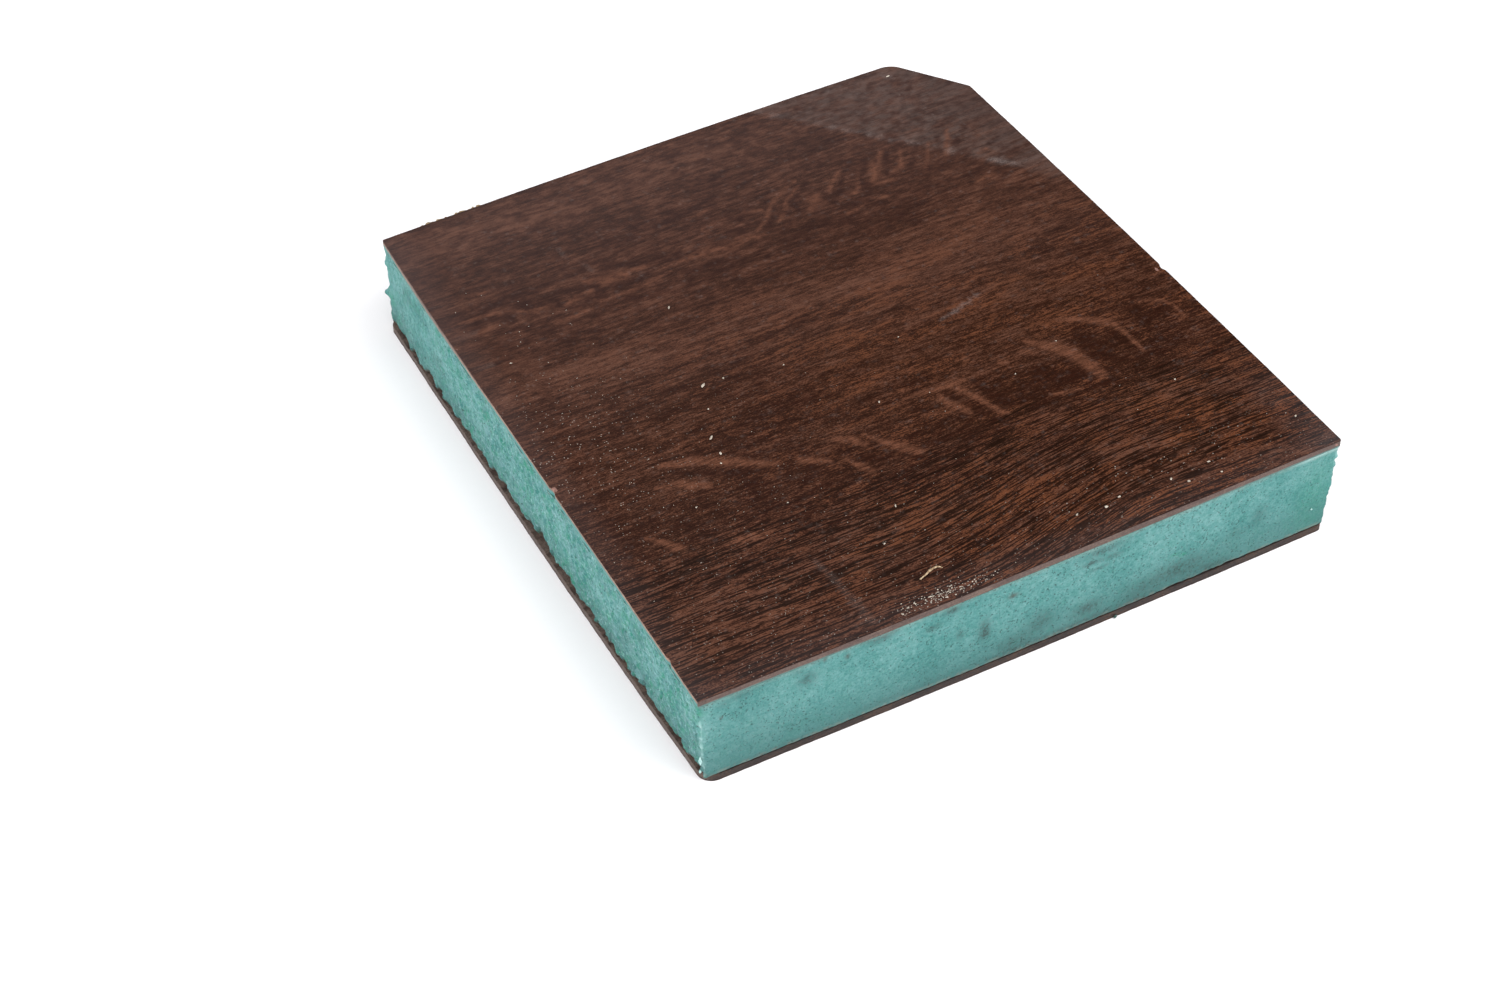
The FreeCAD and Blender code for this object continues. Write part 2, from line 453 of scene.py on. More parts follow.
def foam(name):
    """Sawn closed-cell foam: mottled, freckled with opened cells, bruised and grimed where its fields say.
    Its cells, slits and foot carry painted shade, and its crumb edges and crushed corners painted highlights.
    """
    s = Shader(name)
    coarse = s.field("coarse")
    cloud = s.noise(s.place, 10, detail=2)
    mottle = s.noise(s.place, 1.6, detail=4, rough=0.6)
    speck = s.noise(s.place, 0.5, detail=2)
    crumb = s.noise(s.place, 0.9, detail=3, rough=0.6)
    grain = s.times(s.sum((crumb, 1.2), (mottle, 1.1), (cloud, 0.3), -1.3), coarse)
    tone = s.sum((cloud, 0.5), (mottle, 0.35), (speck, 0.62), grain, -0.225)
    leaf = s.ramp(s.noise(s.place, 1.8, detail=2, twist=1.5), 0.5, 0.64, 0.0, 0.5)
    slate = s.ramp(s.noise(s.place, 2.4, detail=3, twist=1.0), 0.52, 0.64, 0.0, 0.5)
    grainy = s.ramp(s.sum((speck, 0.6), (crumb, 0.4)), 0.4, 0.56, 0.35, 1.0)
    # Opened cells and slits, painted dark with the shade inside them
    opened = s.ramp(s.noise(s.place, 0.42, detail=1), 0.64, 0.7, 0.0, 0.65)
    slits = s.ramp(s.noise(s.place, (1.0, 1.0, 0.6), detail=1, twist=1.0), 0.7, 0.76, 0.0, 0.7)
    # Painted highlights: pale specks on the crumb edges of the coarse sides
    edges = s.ramp(s.noise(s.place, 0.7, detail=2), 0.6, 0.68, 0.0, 0.35)
    colour = s.layers(s.steps(tone, [(0.3, foam_deep), (0.5, foam_mid), (0.74, foam_pale)]), [
        # Painted shade, darker towards the foam's foot
        (s.times(s.field("low"), 0.65), foam_foot_shade),
        (s.times(s.field("green"), s.ramp(crumb, 0.35, 0.6, 0.3, 1.0)), foam_green),
        (s.times(leaf, coarse), foam_green), (s.times(slate, coarse), foam_slate),
        (s.times(s.field("grime"), grainy), foam_grime),
        # Painted shade in opened cells and slits
        (opened, foam_pit_shade), (s.times(slits, coarse), foam_pit_shade),
        # Painted highlights on crumb edges, and crushed foam that is partly a painted highlight
        (s.times(edges, coarse), foam_crush_and_highlight), (s.field("crush_and_highlight"), foam_crush_and_highlight),
        # Stains, with painted shade in the undercut at the foot, then the pale fringe
        (s.field("stain_and_shade"), foam_stain_and_shade), (s.field("fringe"), face_sheet_lip),
    ])
    relief = s.sum((opened, -1.0), (crumb, 0.6), (s.noise(s.place, 0.2, detail=2), 0.4))
    return s.finish(colour, s.sum((mottle, 0.2), 0.62), s.bump(relief, 0.14), specular=0.3)


face_sheet_body = srgb(86, 69, 64)
face_sheet_light = srgb(109, 91, 80)
face_sheet_dark = srgb(65, 51, 46)
face_sheet_lip = srgb(160, 128, 110)
under_sheet_body = srgb(46, 37, 35)
under_sheet_light = srgb(78, 58, 46)
under_sheet_dark = srgb(25, 20, 20)
under_sheet_lip = srgb(104, 88, 80)
sheet_ledge_shade = srgb(46, 30, 25)


def pvc_edge(name, body, light, dark, lip):
    """Sawn edge of a rigid PVC sheet, drawn along its length by the blade, with a brighter lip, painted shade
    on a bare ledge's top, and dusted with foam where its fields say."""
    s = Shader(name)
    drawn = s.noise(s.place, (3, 3, 0.12), detail=3)
    cloud = s.noise(s.place, 7, detail=3)
    fine = s.noise(s.place, 0.4, detail=3)
    tone = s.sum((drawn, 0.5), (cloud, 0.4), (fine, 0.5), -0.2)
    colour = s.layers(s.steps(tone, [(0.3, dark), (0.5, body), (0.7, light)]), [
        (s.times(s.field("lip"), s.ramp(fine, 0.35, 0.6, 0.5, 1.0)), lip),
        # Painted shade on a bare ledge's top, then foam dust
        (s.field("ledge_shade"), sheet_ledge_shade), (s.field("dusted"), foam_mid),
    ])
    relief = s.sum((drawn, 0.5), (fine, 0.5))
    return s.finish(colour, s.sum((fine, 0.2), 0.5), s.bump(relief, 0.05), specular=0.25)


def plain_speckled(name, colour_a, colour_b, size, rough=0.7):
    """Small loose matter: two colours mixed in grains of this size, with a grainy relief."""
    s = Shader(name)
    grains = s.noise(s.place, size, detail=3)
    colour = s.blend(s.ramp(grains, 0.35, 0.65), colour_a, colour_b)
    return s.finish(colour, s.sum((grains, 0.2), rough), s.bump(grains, size * 0.2), specular=0.3)


# The show face's print

# Patches of the print that are lighter or darker than the rest: centre, half widths and how much lighter
TONE_PATCHES = rows_of("""
0 -38 130 9 -0.5, 0 -14 130 9 -0.15, -25 40 60 12 -0.1, 0 -64 130 10 0.4, -62 -62 16 11 0.7,
15 -64 40 10 0.25, 0 66 130 14 0.15, 15 -37 50 9 -0.45, 20 -12 45 8 -0.2, -35 66 40 6 0.5,
-20 54 60 6 -0.45, 25 62 16 8 -0.25, 20 29 50 7 -0.45, -50 25 20 4 -0.3, -35 14 40 4 0.35,
15 11 18 4 0.75, 50 15 20 6 0.25, -40 1 30 6 -0.35, 60 3 16 7 -0.25, -62 -13 12 5 0.35, 30 -8 20 5 0.35,
-25 -19 22 8 -0.8, -40 -33 26 5 -0.7, -62 -25 10 8 -0.35, 28 -31 15 5 -0.95, 59 -27 8 6 -1.1,
46 -26 5 7 -0.8, 4 -30 8 6 -0.6, 66 -12 6 6 -0.3, -48 -43 18 3 0.4, 35 -46 30 3.5 0.6, 45 -50 22 3 0.5,
-15 -54 20 4 0.4, 30 -58 26 3 0.4, -55 -62 20 6 0.1, -55 -72 20 3 -0.5, 5 -66 26 4 -0.35,
55 -60 12 5 -0.3, 50 -68 20 5 -0.2
""")


def read_lines(text):
    """Lines drawn over the print, one to a line of text, in tenths of a millimetre: each point is X and Y
    and, for a stroke of the figure, half its width."""
    return [rows_of(line, 10) for line in text.strip().splitlines()]


# Light strokes of the figure: the ray flecks of the middle
RAY_FLECKS = read_lines("""
-487 -172 8, -422 -193 15, -362 -226 13, -322 -253 11, -287 -273 10
-240 -288 9, -215 -306 9, -187 -323 5
-520 -226 5, -485 -232 9, -455 -250 14, -428 -266 10
-596 -338 5, -574 -362 8, -552 -396 13
-160 -332 4, -146 -360 9, -132 -382 11
-150 -272 7, -122 -290 11, -108 -310 8
-96 -285 4, -76 -316 9, -54 -346 13, -24 -384 11
92 -262 7, 100 -295 11, 120 -330 8
136 -260 7, 150 -293 8, 164 -330 7, 174 -360 9, 186 -373 5
25 -234 3, 90 -240 6, 145 -243 12, 160 -244 5
330 -205 6, 352 -228 12, 378 -252 20, 393 -285 21, 404 -325 16, 409 -364 13
422 -178 5, 460 -198 9, 495 -224 13, 514 -240 9, 520 -280 5, 522 -342 5.5
600 -213 3, 640 -228 5, 655 -253 4, 655 -298 3
285 -364 3, 320 -374 5, 350 -380 5
252 -236 9, 260 -240 8
308 -229 8, 320 -234 7
240 -420 14, 260 -430 16
-470 -422 10, -400 -434 13
""")
# The slim arches at the left of the far half, and the leaf that runs on to the right
ARCHES = read_lines("""
-375 408 9, -340 383 19, -290 386 16, -236 386 6
-440 356 6, -405 366 10, -374 372 8
-520 376 5, -498 368 9, -474 368 5
-660 360 8, -620 364 9, -584 366 5
-655 410 5, -580 402 5, -525 380 6
-695 340 9, -660 336 8
-480 312 6, -400 317 8
-370 330 3, -280 332 6, -200 346 5
-205 364 4, -120 366 13, -20 362 17, 30 360 6
-600 476 5, -550 476 4
-85 482 3, -35 496 4
-80 439 3, 0 448 4
""")
# The row of bent strokes at the right of the far half
BENT_STROKES = read_lines("""
20 375 5, 55 400 6, 85 436 7, 120 466 8, 176 488 6
32 444 8, 60 434 7
70 376 5, 105 406 6, 125 440 5, 170 466 5
160 386 12, 174 410 19, 190 422 10
220 418 7, 240 446 8, 274 470 5
266 388 9, 286 406 5, 316 456 5
316 396 8, 338 430 16, 356 458 13, 386 488 8
330 392 9, 376 389 5
374 414 6, 400 420 10, 420 456 7, 430 480 5
446 394 5, 474 430 7, 496 466 6
510 410 8, 534 446 11, 556 484 7
574 380 11, 596 384 9
604 436 10, 626 450 7
220 336 6, 260 340 5
290 354 4, 318 346 8
520 295 12, 560 300 10
""")

# Dark strokes of the figure: beside the ray flecks, round the arches and between the bent strokes
RAY_SHADES = read_lines("""
-470 -205 7, -425 -230 10, -360 -265 11, -310 -280 6
-125 -346 10, -95 -366 12
110 -262 8, 126 -300 10, 142 -344 9
176 -264 10, 190 -320 16, 210 -350 8
435 -240 12, 446 -290 20, 452 -330 14
496 -260 8, 504 -310 10
360 -330 20, 300 -310 24
-44 -390 9, -26 -398 8
490 -540 6, 550 -530 9, 600 -524 6
450 -570 7, 500 -572 6
""")
ARCH_OUTLINES = read_lines("""
-335 420 5, -280 412 8, -240 400 5, -180 386 12, -150 388 6
-320 352 7, -270 356 9, -230 368 3
-460 400 4, -395 398 7, -360 382 10, -354 360 8, -375 348 5
-440 340 4, -385 348 6
-530 398 9, -480 392 8, -452 374 9, -454 360 6
-640 392 6, -575 384 8, -552 370 11, -560 358 8
-670 426 9, -580 424 11, -510 430 8, -430 432 5, -380 430 4
-600 344 5, -520 326 5, -460 334 4
-330 446 3, -290 442 4
-170 330 10, -120 326 14, -80 324 8
-60 394 6, -10 400 9
-160 495 8, -110 502 9, -50 512 7
-680 304 14, -660 296 10
-300 486 5, -220 484 8
""")
BENT_GAPS = read_lines("""
40 374 6, 74 400 7, 90 428 6
130 390 6, 136 426 8, 160 450 7, 196 476 7
214 384 9, 244 408 8, 254 430 6, 284 466 5, 310 488 4
292 406 5, 316 448 7, 350 486 4
360 410 6, 374 444 8, 400 478 5
424 414 7, 454 454 8, 466 470 5
474 370 9, 484 372 8
552 434 7, 560 450 6
584 468 8, 594 470 6
612 396 8, 622 404 6
520 468 8, 530 474 5
15 414 8, -10 450 9
130 330 10, 180 324 12
286 336 7, 300 332 7
""")

# The longest pore lines
PORE_LINES = read_lines("""
40 -680, 100 -666, 190 -640, 245 -628, 275 -620
280 -624, 330 -618, 380 -610, 430 -606
-10 -732, 60 -716, 110 -708
110 -718, 160 -706, 210 -694, 260 -684
0 -744, 80 -736, 120 -726
120 -696, 180 -684, 240 -674
190 -666, 250 -650, 300 -642
300 -654, 350 -644, 400 -636
330 -636, 380 -626, 440 -622
440 -626, 520 -616, 600 -616, 650 -620
120 -596, 180 -584, 250 -574, 300 -564
200 -598, 270 -586
100 -550, 160 -538, 220 -528
0 -514, 80 -504
0 -530, 60 -518, 120 -510
30 -550, 120 -524
200 -514, 280 -500, 340 -488
330 -476, 410 -466, 500 -454
200 -454, 300 -440, 380 -444
210 -544, 290 -534
480 -516, 510 -514
520 -458, 580 -454, 640 -460
-640 -444, -550 -436, -480 -432
-660 -460, -580 -454, -500 -456
-510 -496, -440 -486
-500 -508, -420 -502, -380 -510
-480 -416, -380 -406
-310 -498, -240 -496, -140 -494, -60 -490
-550 -614, -490 -612, -420 -616, -340 -616
-680 -618, -600 -614
-210 -606, -150 -600, -110 -588
-300 -660, -240 -658, -180 -654
-120 -664, -40 -650, 10 -640
-600 -694, -480 -690
-290 -640, -220 -632, -140 -624
-160 -576, -80 -562, 0 -554
-520 -578, -440 -576
-400 -578, -340 -578
-240 -530, -140 -526
-90 -534, 0 -516
130 -386, 190 -376, 260 -368
510 -406, 570 -398
-560 -640, -500 -638
""")


def strokes(x, y, lines, spread=1.0):
    """How far inside a set of strokes each point is, from 0 at their edges to 1 in the middle."""
    inside = np.zeros(x.shape)
    for line in lines:
        for (ax, ay, aw), (bx, by, bw) in zip(line, line[1:]):
            along = ((x - ax) * (bx - ax) + (y - ay) * (by - ay)) / ((bx - ax) ** 2 + (by - ay) ** 2)
            along = np.clip(along, 0, 1)
            gap = np.hypot(x - ax - along * (bx - ax), y - ay - along * (by - ay))
            inside = np.maximum(inside, 1 - gap / (aw + along * (bw - aw)) / spread)
    return inside


def nearest_line(x, y, lines):
    """How far each point is above the nearest of a set of lines that run from left to right, and how much
    that line counts there: fully along its middle, fading at its ends and away from it."""
    height = np.full(x.shape, 9.0)
    share = np.zeros(x.shape)
    for line in lines:
        line_x, line_y = zip(*line)
        gap = y - np.interp(x, line_x, line_y)
        start, end = line_x[0], line_x[-1]
        fade = (end - start) * 0.25
        inside = smooth(start - fade, start + fade, x) * smooth(end + fade, end - fade, x)
        here = (np.abs(gap) < np.abs(height)) & (inside > 0.02)
        height = np.where(here, gap, height)
        share = np.where(here, inside, share)
    return height, share * smooth(1.2, 0.8, np.abs(height))


# Half widths of the figure's strokes as painted, over the ones listed
stroke_spread = 1.35


def print_fields(x, y):
    """The print's fields over the show face, and a painted sheen that greys it."""
    # Grain runs along X, wavers, and climbs to the right in the near part
    climb = 7.5 * smooth(-18, 36, x) * smooth(-30, -60, y)
    course = y - climb + 1.4 * (noise(x / 34, y / 11, 11, 2) - 0.5) + 0.4 * (noise(x / 9, y / 3, 13, 2) - 0.5)
    tone = 0.9 * (noise(x / 26, y / 5, 17, 3) - 0.5)
    tone += marks(x, y, TONE_PATCHES)
    ragged = 0.5 * (noise(x / 1.8, y / 0.9, 19, 2) - 0.5)
    # The far half's figure is softer and mottled
    far = smooth(16, 32, y)
    mottle = noise(x / 3.0, y / 1.7, 33, 3)
    tone += far * (2.2 - 1.0 * bell(y - 40, 9)) * (mottle - 0.5)
    ragged = ragged * (1 + 1.2 * far) + 0.8 * far * (noise(x / 3.4, y / 2.2, 35, 2) - 0.5)
    figure = strokes(x, y, RAY_FLECKS + ARCHES + BENT_STROKES, stroke_spread) + ragged
    shades = strokes(x, y, RAY_SHADES + ARCH_OUTLINES + BENT_GAPS, stroke_spread) + ragged
    pore = 0.35 + 0.65 * smooth(-34, -44, y) - 0.2 * smooth(10, 30, y)
    line, line_share = nearest_line(x, y, PORE_LINES)
    warm = smooth(-75, 10, x) * smooth(30, -10, y) * (0.75 + 0.25 * smooth(-45, -60, y))
    # Painted sheen: a grey veil over the print, strongest towards the back and along the front, left and
    # front-right edges
    painted_sheen = 0.009 * smooth(30, -60, x) + 0.011 * smooth(-12, 12, y) + 0.032 * smooth(15, 75, y)
    painted_sheen += 0.03 * smooth(-66, -75, y)
    painted_sheen += 0.05 * smooth(60, 70, x) * smooth(-40, -72, y)
    painted_sheen += 0.03 * smooth(-62, -70, x)
    return {
        "course": course, "tone": tone, "light": smooth(0.0, 0.75 + 0.25 * far, figure),
        "dark": smooth(-0.3 * far, 0.8 - 0.25 * far, shades), "pore": np.clip(pore, 0, 1), "line": line,
        "line_share": line_share, "crisp": 0.35 + 0.65 * smooth(40, -40, y), "warm": warm, "painted_sheen": painted_sheen,
    }


# The corner that something rubbed: everything past this line, towards the clipped corner
scuff_start = (23.5, 73.0)
scuff_end = (69.0, 22.5)
# Pale residue left along that line and in the corner: place, half widths and strength
RUBBINGS = rows_of("""
24.2 72.4 1 1 0.6, 34 61.8 1 1 0.7, 39.6 55.2 0.7 0.7 0.5, 41.2 53.4 0.8 0.8 0.6, 42.8 51.4 0.7 0.7 0.5,
46 48.7 0.8 0.8 0.85, 52.3 41.6 1.1 1.1 0.7, 59 34.2 1.1 1.1 0.6, 60.5 32.8 1.2 1.2 0.7,
62 31.2 0.9 0.9 0.5, 65.4 26 1 1 0.9, 54.2 72.4 1.1 1.1 0.7, -67.6 30.2 1.6 1.6 0.35, -66.2 28.6 1 1 0.3
""")
# A whitish smear, and faint upright scuffs, as strokes
SMEARS = read_lines("215 -63 5, 260 -52 10, 300 -38 12, 325 -28 6")
UPRIGHT_SCUFFS = read_lines("""
-377 530 9, -373 490 9
-350 460 9, -344 430 9
-345 -540 8, -336 -620 16, -330 -730 18
-322 -665 3, -332 -705 5
""")
# Where fine dust lies thick: place, half widths and strength
DUST_PATCHES = [(-62, 2, 18, 32, 0.65), (-17.5, -73.6, 7, 1.6, 0.7)]


def wear_fields(x, y):
    """Rubbed corner, smears and fine dust over the show face."""
    along_x, along_y = scuff_end[0] - scuff_start[0], scuff_end[1] - scuff_start[1]
    past = (along_x * (y - scuff_start[1]) - along_y * (x - scuff_start[0])) / math.hypot(along_x, along_y)
    past = past + 1.1 * (noise(x / 2.2, y / 2.2, 23, 3) - 0.5)
    patchy = 0.4 + 0.75 * noise(x / 6, y / 4, 25, 3) + 0.012 * np.clip(past, 0, 20)
    blobs = 0.45 + 0.9 * smooth(0.3, 0.65, noise(x / 2.6, y / 2.2, 31, 3))
    scuff = smooth(-0.6, 1.2, past) * np.clip(patchy, 0, 1) * np.clip(blobs, 0, 1)
    line = bell(past - 0.5, 0.9) * smooth(0.4, 0.75, noise(x / 2.8, y / 2.8, 27, 2))
    ragged = 0.8 * (noise(x / 0.9, y / 0.5, 29, 2) - 0.5)
    smear = 0.16 * line + 0.35 * smooth(0.2, 1.0, strokes(x, y, SMEARS) + 1.6 * ragged)
    smear += 0.1 * smooth(0.1, 0.9, strokes(x, y, UPRIGHT_SCUFFS) + ragged)
    smear += 0.7 * (0.6 + ragged) * marks(x, y, RUBBINGS)
    dust = 0.1 * smooth(20, -30, x) + marks(x, y, DUST_PATCHES)
    dust = (dust + 0.25 * smooth(-45, -70, y)) * smooth(25, -10, y)
    return {"scuff": np.clip(scuff, 0, 1), "dust": np.clip(dust, 0, 1), "smear": np.clip(smear, 0, 0.9)}


def underside_fields(x, y):
    """The underside's print: the same wood, with a course of its own and little wear."""
    course = y + 3 * (noise(x / 50, y / 16, 41, 2) - 0.5)
    tone = 1.2 * (noise(x / 30, y / 6, 43, 3) - 0.5)
    nothing = np.zeros(x.shape)
    return {
        "course": course, "tone": tone, "pore": nothing + 0.7, "line": nothing + 9, "crisp": nothing + 0.8,
        "warm": nothing + 0.5, "scuff": 0.25 * smooth(0.6, 0.8, noise(x / 12, y / 8, 47)),
        "dust": nothing + 0.15,
    }


# Layers

foil_wood = decor_foil("wood_grain_foil")
foam_finish = foam("sawn_foam")
face_edge = pvc_edge(
    "face_sheet_edge", face_sheet_body, face_sheet_light, face_sheet_dark, face_sheet_lip
)
under_edge = pvc_edge(
    "underside_sheet_edge", under_sheet_body, under_sheet_light, under_sheet_dark, under_sheet_lip
)

face_rim, side_counts = rim_of("face_decor_foil", True)


def round_noise(rim, cells, seed, octaves=3, height=0.5):
    """Noise from 0 to 1 that closes on itself round an outline, in this many cells."""
    share = rim.run / (rim.run[-1] + edge_step)
    return noise(share * cells, height, seed, octaves, period=cells)


def on_side(rim, name):
    return rim.side == SIDES.index(name)


# Chips out of the sheets' cut edges: side, place along it (X, or Y on the left and right), half width and
# depth
FACE_CHIPS = [("left", -13.3, 0.9, 0.35), ("left", -63.5, 0.6, 0.25), ("right", -14.3, 0.8, 0.4)]
UNDERSIDE_CHIPS = [("right", -73.5, 1.2, 0.2)]


def chipped(rim, chips, wave, fine, seed):
    """An outline's points moved in and out by the blade's wander and a list of chips."""
    move = wave * (2 * round_noise(rim, 40, seed) - 1) + fine * (2 * round_noise(rim, 420, seed + 7, 2) - 1)
    for side, place, half, depth in chips:
        coordinate = rim.y - fitted_y if side in ("left", "right") else rim.x - fitted_x
        bite = depth * bell(coordinate - place, half, 3)
        move = move - np.where(on_side(rim, side), bite, 0)
    return rim.x + rim.out_x * move, rim.y + rim.out_y * move


def levels(node):
    low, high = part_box(node)
    return low.z / MM, high.z / MM


def sheet_rows(node, chips, wave, fine, seed, profile):
    """Outlines of a sheet or foil from the bottom up: profile gives (share of the thickness, how far in)."""
    low, high = levels(node)
    rim, _ = rim_of(node, True, side_counts)
    x, y = chipped(rim, chips, wave, fine, seed)
    return [
        (x - rim.out_x * inset, y - rim.out_y * inset, low + share * (high - low))
        for share, inset in profile
    ]


SHEET_PROFILE = [(0, 0.06), (0.06, 0.0), (0.3, 0.03), (0.5, 0.0), (0.7, 0.02), (0.94, 0.01), (1, 0.06)]
FOIL_PROFILE = [(0, 0.03), (0.4, 0.0), (0.8, 0.01), (1, 0.05)]


def face_sheet_fields(piece, points, rows):
    """Fields of the face sheet's edge. The blade left foam dust on its foot, with a pale fringe above: on
    the left the dust climbs right up to the foil in the near half and less further on; on the front it only
    touches the seam."""
    low, high = levels("face_pvc_sheet")
    on_left = np.zeros(len(points))
    on_left[: len(rows) * len(face_rim.x)] = np.tile(on_side(face_rim, "left"), len(rows))
    x, y = points[:, 0] - fitted_x, points[:, 1] - fitted_y
    depth = high - points[:, 2]
    ragged = 0.3 * (noise(y / 0.9, x / 0.9, 151, 2) - 0.5)
    brown = 0.65 * smooth(0, 45, y) - 0.2 - 0.3 * smooth(55, 70, y) + 0.2 * smooth(-30, -50, y) + ragged
    fringe = smooth(brown - 0.1, brown + 0.15, depth) * smooth(brown + 1.1, brown + 0.45, depth)
    broken = smooth(0.3, 0.6, noise(y / 1.3, x / 1.3, 153, 2))
    front_dust = smooth(1.2, 1.35, depth + ragged) * np.clip(smooth(-30, -50, x) + smooth(30, 50, x), 0, 1)
    left_lip = fringe * (0.55 + 0.35 * broken) * (1 - 0.35 * smooth(20, 50, y))
    paint(piece, {
        "lip": np.where(on_left > 0, left_lip, 0.1 * smooth(1.2, 1.4, depth)),
        "dusted": np.where(on_left > 0, smooth(brown + 0.3, brown + 1.1, depth), 0.8 * front_dust),
    })


rows = sheet_rows("face_decor_foil", FACE_CHIPS, 0.05, 0.04, 101, FOIL_PROFILE)
show_foil, points = layer_piece("show_foil", rows, print_step, hidden_step, foil_wood, 1)
face_x, face_y = points[:, 0] - fitted_x, points[:, 1] - fitted_y
paint(show_foil, print_fields(face_x, face_y))
paint(show_foil, wear_fields(face_x, face_y))
paint(show_foil, {"cut": (points[:, 2] < rows[-1][2] - 0.02) * np.where(face_x < -68, 0.15, 1.0)})
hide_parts("face_decor_foil")

rows = sheet_rows("face_pvc_sheet", FACE_CHIPS, 0.06, 0.05, 101, SHEET_PROFILE)
face_sheet, points = layer_piece("face_sheet", rows, hidden_step, hidden_step, face_edge, 2)
face_sheet_fields(face_sheet, points, rows)
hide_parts("face_pvc_sheet")

rows = sheet_rows("underside_pvc_sheet", UNDERSIDE_CHIPS, 0.1, 0.05, 131, SHEET_PROFILE)
under_sheet, points = layer_piece(
    "underside_sheet", rows, ledge_step, hidden_step, under_edge, 3
)
top_face = smooth(rows[-1][2] - 0.06, rows[-1][2], points[:, 2])
scraped = noise(points[:, 0] / 1.2, points[:, 1] / 1.2, 157, 3)
on_left = smooth(-66, -67.5, points[:, 0]) * smooth(-75.2, -73.5, points[:, 1])
paint(under_sheet, {
    "lip": on_left * (0.58 + 0.42 * top_face * smooth(0.25, 0.6, scraped)),
    # Painted shade on the top of the bare ledge where it was not scraped, more on the left
    "ledge_shade": (0.35 + 0.2 * on_left) * top_face * smooth(0.5, 0.3, scraped),
})
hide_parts("underside_pvc_sheet")

rows = sheet_rows("underside_decor_foil", UNDERSIDE_CHIPS, 0.1, 0.05, 131, FOIL_PROFILE)
under_foil, points = layer_piece(
    "underside_foil", rows, hidden_step, underside_step, foil_wood, 4
)
paint(under_foil, underside_fields(points[:, 0], points[:, 1]))
paint(under_foil, {"cut": points[:, 2] > 0.02})
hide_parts("underside_decor_foil")

# Where the blade tore the foam deepest from the underside sheet, on the left: place along Y, half width and
# depth
SEAM_TEARS = rows_of("""
-71.5 0.9 0.7, -65.5 1.2 0.3, -61.5 0.8 0.9, -56 1.2 0.35, -51.3 0.9 0.9, -47 1 0.4, -43 1.4 0.4,
-37.2 1 0.9, -33 0.8 0.55, -29.8 1 0.5, -24.8 0.9 0.7, -19.6 0.9 0.5, -15.5 1.2 0.6, -11.4 0.8 0.9,
-5 1.6 1.9, 4.6 1 0.5, 11.8 1.5 0.7, 20.8 1.3 0.4, 29.8 1.5 0.5, 39.8 2 0.4, 45 1.2 0.4, 52 2 0.6,
60 1 0.7, 65 1 0.6, 70 1.2 0.6
""")
# Bites, and one tooth, down the foam's back left corner: height, half height and how far out
CORNER_TEETH = rows_of("""
20.2 0.8 -0.3, 18.2 0.5 0.15, 16.9 0.4 -0.5, 15.8 0.5 -0.35, 13.2 1.8 -1.05, 10.1 0.5 0.8, 8.4 0.8 -0.6,
6 1.2 -0.8, 3.2 0.8 -1.2
""")
# Grime on the foam's front: X, height, half widths and strength
GRIME = rows_of("""
-61.2 21 2.4 0.7 0.4, -65 20.5 1.2 0.8 0.3, -47.8 18.4 1.9 1.6 0.6, -49.8 21 1.2 0.7 0.3,
-32.2 21.3 2.6 1.1 0.6, -21.7 18.4 1 0.7 0.45, -17.2 21.1 2 0.9 0.8, -20.4 18.6 1.2 0.6 0.4,
-15.2 13.4 1 1.2 0.5, -9.8 12.2 1.3 2.6 0.75, -9.3 10.6 0.8 1 0.5, 16.2 20.6 4.6 1.1 0.65,
13.5 18.4 2 0.6 0.75, 18.4 18 2.4 0.7 0.6, 15.6 16.2 2.6 0.4 0.55, 3 8 3 2.6 0.55, -3 4.6 4 2.4 0.45,
13.8 6 3.2 1.7 0.7, 26 5 4 2.6 0.35, 35.4 6.4 6.2 2.4 0.7, 43 3.2 4.5 1.2 0.6, 53.6 12.2 1.9 2.4 0.35,
48 9.8 3 2 0.2, -28 3.4 14 1 0.3, 12 2.8 22 0.9 0.55, -55 2.6 12 0.7 0.3, -60 12 10 9 0.12
""")
# Brown stains there, in the same terms
STAINS = rows_of("""
-65.5 17.1 0.35 0.4 0.7, -44.1 21.8 0.35 0.6 0.7, -39.4 20.2 0.5 0.7 0.7, -3.8 18.3 1.1 0.6 0.8,
-30 21.8 2 0.3 0.25
""")
# Deeper green marks by side: place along it, height, half widths and strength
GREEN_MARKS = {
    "front": rows_of("""
-69.8 20.3 0.6 1.4 0.9, 33.6 10.9 1.1 0.3 0.9, 35.6 10 0.9 0.35 0.9, 67 11 5 10 0.3
"""),
    "left": rows_of("""
-74.4 21.2 0.7 1.8 0.9, -73 17.5 0.9 1 0.8, -66.5 19 1.2 1 0.5, -45.8 18.4 0.9 1 0.9,
-36.9 10.2 1.1 1.3 0.8, -27 15 1.2 1 0.4, -20 6 1.1 1.2 0.9, -1.6 20.4 1.6 1.4 0.9, -0.6 13.8 0.9 3.2 0.7,
5.7 9 1.2 1.2 0.5, 36 16.6 1.2 1 0.6, 43.6 20.8 1.4 1 0.6, 31 8.8 1.2 1 0.5, 71 10.2 1.4 1.6 0.7,
-55 8 1.2 1.2 0.4, -62 12 1 1 0.4, 20 18 1.6 1.2 0.4
"""),
}
# How far the camera's line of sight climbs over each millimetre that the foot of a side stands in
left_climb = 2.16
front_climb = 1.1
# Points to each side over which the coarseness of the sawn sides is evened out
even_reach = 5


